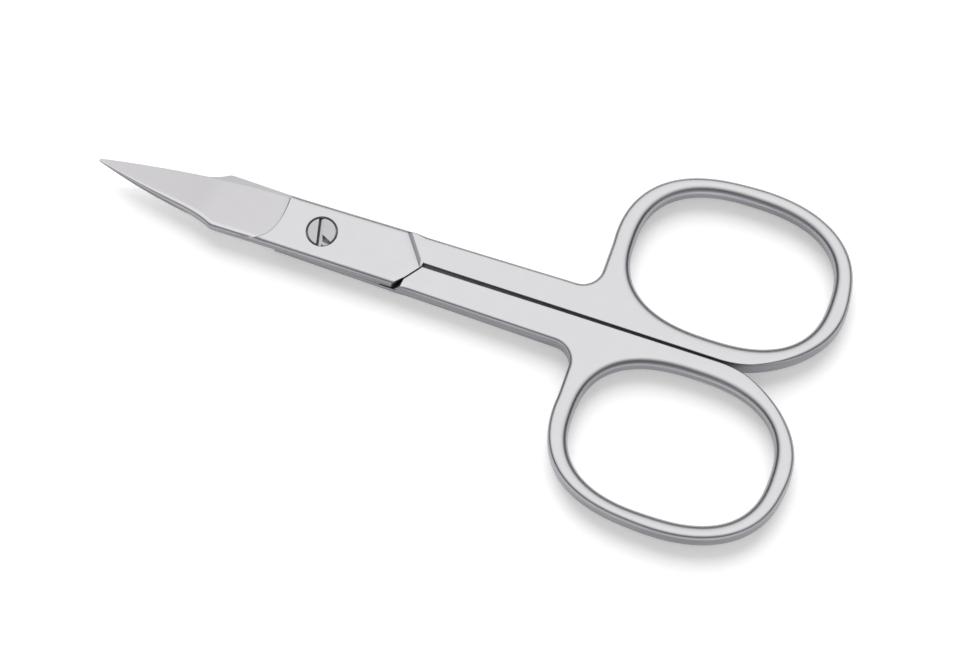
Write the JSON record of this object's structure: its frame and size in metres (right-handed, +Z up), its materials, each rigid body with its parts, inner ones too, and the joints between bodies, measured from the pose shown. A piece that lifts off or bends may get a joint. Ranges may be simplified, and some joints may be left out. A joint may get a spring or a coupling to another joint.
{
  "type": "cuticle scissors",
  "caption": "Small steel scissors with short pointed blades, a slotted pivot screw and oval finger rings, for trimming cuticles and nails.",
  "frame": {"origin": "on the pivot axis, in the plane that the scissors rest on", "axes": "+X from the pivot towards the finger rings, +Y towards the front half's ring, +Z up through the screw's head"},
  "size_m": [0.0902, 0.0448, 0.003],
  "materials": {
    "satin_steel": "satin ground stainless steel",
    "screw_steel": "turned stainless steel, fine satin"
  },
  "bodies": {
    "rear": {"rear_half": "satin_steel", "pivot_screw": "screw_steel"},
    "front": {"front_half": "satin_steel"}
  },
  "joints": [
    {"name": "pivot", "type": "hinge", "parent": "rear", "child": "front", "pos_m": [0, 0, 0.0015], "axis": [0, 0, 1], "range_deg": [0, 138]}
  ]
}
